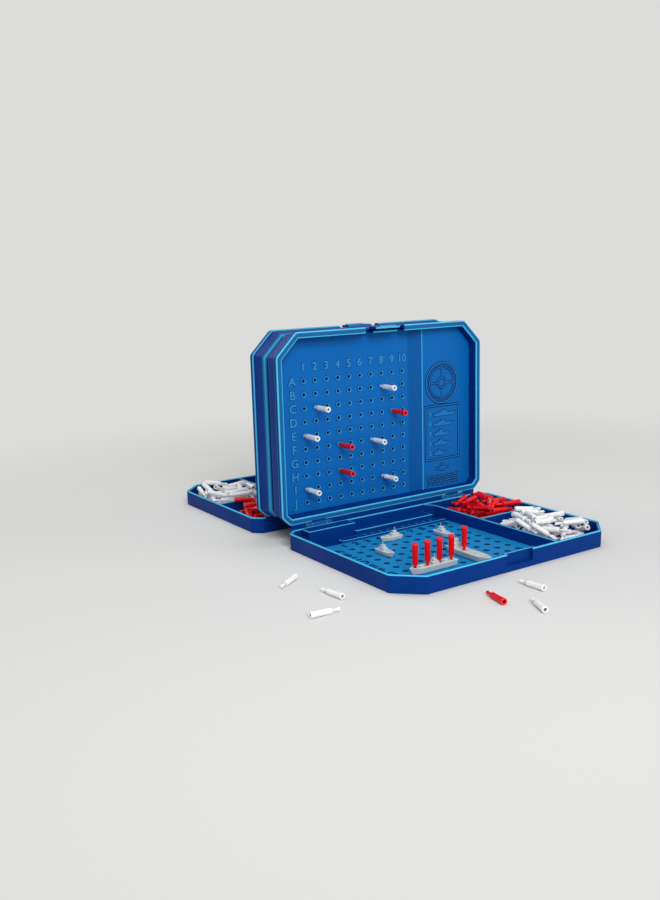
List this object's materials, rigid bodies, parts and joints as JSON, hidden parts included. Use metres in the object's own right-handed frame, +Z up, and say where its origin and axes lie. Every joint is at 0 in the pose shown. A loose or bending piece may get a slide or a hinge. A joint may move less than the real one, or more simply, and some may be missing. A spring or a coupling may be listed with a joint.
{
  "type": "fleet guessing game set",
  "caption": "Two identical folding game cases set back to back, each with a lid target grid, a tray ocean grid, ships, pegs and two peg bins.",
  "frame": {"origin": "on the table, at the centre of the underside of the near tray", "axes": "+Z up from the table, +Y from the near case towards the far case, +X along the hinges, to the right of the near player, who sits on the -Y side"},
  "size_m": [0.3292, 0.5064, 0.2022],
  "materials": {
    "case_blue": "deep blue moulded plastic with a soft gloss",
    "grid_blue": "mid blue moulded plastic with a soft gloss",
    "ship_grey": "light grey moulded plastic",
    "peg_white": "white moulded plastic",
    "peg_red": "red moulded plastic",
    "pin_steel": "plain bright steel wire"
  },
  "bodies": {
    "near_tray": {"near_tray": "case_blue", "near_ocean_grid": "grid_blue", "near_hinge_pins": "pin_steel"},
    "near_lid": {"near_lid": "case_blue", "near_target_grid": "grid_blue"},
    "near_latch_tab": {"near_latch_tab": "case_blue"},
    "near_battleship": {"near_battleship": "ship_grey"},
    "near_cruiser": {"near_cruiser": "ship_grey"},
    "near_patrol_boat_1": {"near_patrol_boat_1": "ship_grey"},
    "near_patrol_boat_2": {"near_patrol_boat_2": "ship_grey"},
    "near_patrol_boat_3": {"near_patrol_boat_3": "ship_grey"},
    "near_battleship_pegs": {"near_battleship_pegs": "peg_red"},
    "near_cruiser_peg": {"near_cruiser_peg": "peg_red"},
    "near_lid_miss_pegs": {"near_lid_miss_pegs": "peg_white"},
    "near_lid_hit_pegs": {"near_lid_hit_pegs": "peg_red"},
    "near_red_peg_heap": {"near_red_peg_heap": "peg_red"},
    "near_white_peg_heap": {"near_white_peg_heap": "peg_white"},
    "near_loose_miss_pegs": {"near_loose_miss_pegs": "peg_white"},
    "near_loose_hit_peg": {"near_loose_hit_peg": "peg_red"},
    "far_tray": {"far_tray": "case_blue", "far_ocean_grid": "grid_blue", "far_hinge_pins": "pin_steel"},
    "far_lid": {"far_lid": "case_blue", "far_target_grid": "grid_blue"},
    "far_latch_tab": {"far_latch_tab": "case_blue"},
    "far_battleship": {"far_battleship": "ship_grey"},
    "far_cruiser": {"far_cruiser": "ship_grey"},
    "far_patrol_boat_1": {"far_patrol_boat_1": "ship_grey"},
    "far_patrol_boat_2": {"far_patrol_boat_2": "ship_grey"},
    "far_patrol_boat_3": {"far_patrol_boat_3": "ship_grey"},
    "far_battleship_pegs": {"far_battleship_pegs": "peg_red"},
    "far_cruiser_peg": {"far_cruiser_peg": "peg_red"},
    "far_lid_miss_pegs": {"far_lid_miss_pegs": "peg_white"},
    "far_lid_hit_pegs": {"far_lid_hit_pegs": "peg_red"},
    "far_red_peg_heap": {"far_red_peg_heap": "peg_red"},
    "far_white_peg_heap": {"far_white_peg_heap": "peg_white"}
  },
  "joints": [
    {"name": "near_lid_hinge", "type": "hinge", "parent": "near_tray", "child": "near_lid", "pos_m": [0, 0.094, 0.01615], "axis": [1, 0, 0], "range_deg": [0, 90]},
    {"name": "near_latch_flex", "type": "hinge", "parent": "near_lid", "child": "near_latch_tab", "pos_m": [0, 0.10215, 0.20005], "axis": [-1, 0, 0], "range_deg": [0, 8], "stiffness_Nm_per_rad": 0.3},
    {"name": "near_battleship_lift", "type": "slide", "parent": "near_tray", "child": "near_battleship", "axis": [0, 0, 1], "range_m": [0, 0.06]},
    {"name": "near_cruiser_lift", "type": "slide", "parent": "near_tray", "child": "near_cruiser", "axis": [0, 0, 1], "range_m": [0, 0.06]},
    {"name": "near_patrol_boat_1_lift", "type": "slide", "parent": "near_tray", "child": "near_patrol_boat_1", "axis": [0, 0, 1], "range_m": [0, 0.06]},
    {"name": "near_patrol_boat_2_lift", "type": "slide", "parent": "near_tray", "child": "near_patrol_boat_2", "axis": [0, 0, 1], "range_m": [0, 0.06]},
    {"name": "near_patrol_boat_3_lift", "type": "slide", "parent": "near_tray", "child": "near_patrol_boat_3", "axis": [0, 0, 1], "range_m": [0, 0.06]},
    {"name": "near_battleship_pegs_pull", "type": "slide", "parent": "near_battleship", "child": "near_battleship_pegs", "axis": [0, 0, 1], "range_m": [0, 0.03]},
    {"name": "near_cruiser_peg_pull", "type": "slide", "parent": "near_cruiser", "child": "near_cruiser_peg", "axis": [0, 0, 1], "range_m": [0, 0.03]},
    {"name": "near_lid_miss_pegs_pull", "type": "slide", "parent": "near_lid", "child": "near_lid_miss_pegs", "axis": [0, -1, 0], "range_m": [0, 0.004]},
    {"name": "near_lid_hit_pegs_pull", "type": "slide", "parent": "near_lid", "child": "near_lid_hit_pegs", "axis": [0, -1, 0], "range_m": [0, 0.004]},
    {"name": "near_red_peg_heap_lift", "type": "slide", "parent": "near_tray", "child": "near_red_peg_heap", "axis": [0, 0, 1], "range_m": [0, 0.06]},
    {"name": "near_white_peg_heap_lift", "type": "slide", "parent": "near_tray", "child": "near_white_peg_heap", "axis": [0, 0, 1], "range_m": [0, 0.06]},
    {"name": "near_loose_miss_pegs_lift", "type": "slide", "parent": "near_tray", "child": "near_loose_miss_pegs", "axis": [0, 0, 1], "range_m": [0, 0.05]},
    {"name": "near_loose_hit_peg_lift", "type": "slide", "parent": "near_tray", "child": "near_loose_hit_peg", "axis": [0, 0, 1], "range_m": [0, 0.05]},
    {"name": "far_case_apart", "type": "slide", "parent": "near_tray", "child": "far_tray", "axis": [0, 1, 0], "range_m": [0, 0.3]},
    {"name": "far_lid_hinge", "type": "hinge", "parent": "far_tray", "child": "far_lid", "pos_m": [0, 0.1443, 0.01615], "axis": [-1, 0, 0], "range_deg": [0, 90]},
    {"name": "far_latch_flex", "type": "hinge", "parent": "far_lid", "child": "far_latch_tab", "pos_m": [0, 0.13615, 0.20005], "axis": [1, 0, 0], "range_deg": [0, 8], "stiffness_Nm_per_rad": 0.3},
    {"name": "far_battleship_lift", "type": "slide", "parent": "far_tray", "child": "far_battleship", "axis": [0, 0, 1], "range_m": [0, 0.06]},
    {"name": "far_cruiser_lift", "type": "slide", "parent": "far_tray", "child": "far_cruiser", "axis": [0, 0, 1], "range_m": [0, 0.06]},
    {"name": "far_patrol_boat_1_lift", "type": "slide", "parent": "far_tray", "child": "far_patrol_boat_1", "axis": [0, 0, 1], "range_m": [0, 0.06]},
    {"name": "far_patrol_boat_2_lift", "type": "slide", "parent": "far_tray", "child": "far_patrol_boat_2", "axis": [0, 0, 1], "range_m": [0, 0.06]},
    {"name": "far_patrol_boat_3_lift", "type": "slide", "parent": "far_tray", "child": "far_patrol_boat_3", "axis": [0, 0, 1], "range_m": [0, 0.06]},
    {"name": "far_battleship_pegs_pull", "type": "slide", "parent": "far_battleship", "child": "far_battleship_pegs", "axis": [0, 0, 1], "range_m": [0, 0.03]},
    {"name": "far_cruiser_peg_pull", "type": "slide", "parent": "far_cruiser", "child": "far_cruiser_peg", "axis": [0, 0, 1], "range_m": [0, 0.03]},
    {"name": "far_lid_miss_pegs_pull", "type": "slide", "parent": "far_lid", "child": "far_lid_miss_pegs", "axis": [0, 1, 0], "range_m": [0, 0.004]},
    {"name": "far_lid_hit_pegs_pull", "type": "slide", "parent": "far_lid", "child": "far_lid_hit_pegs", "axis": [0, 1, 0], "range_m": [0, 0.004]},
    {"name": "far_red_peg_heap_lift", "type": "slide", "parent": "far_tray", "child": "far_red_peg_heap", "axis": [0, 0, 1], "range_m": [0, 0.06]},
    {"name": "far_white_peg_heap_lift", "type": "slide", "parent": "far_tray", "child": "far_white_peg_heap", "axis": [0, 0, 1], "range_m": [0, 0.06]}
  ]
}
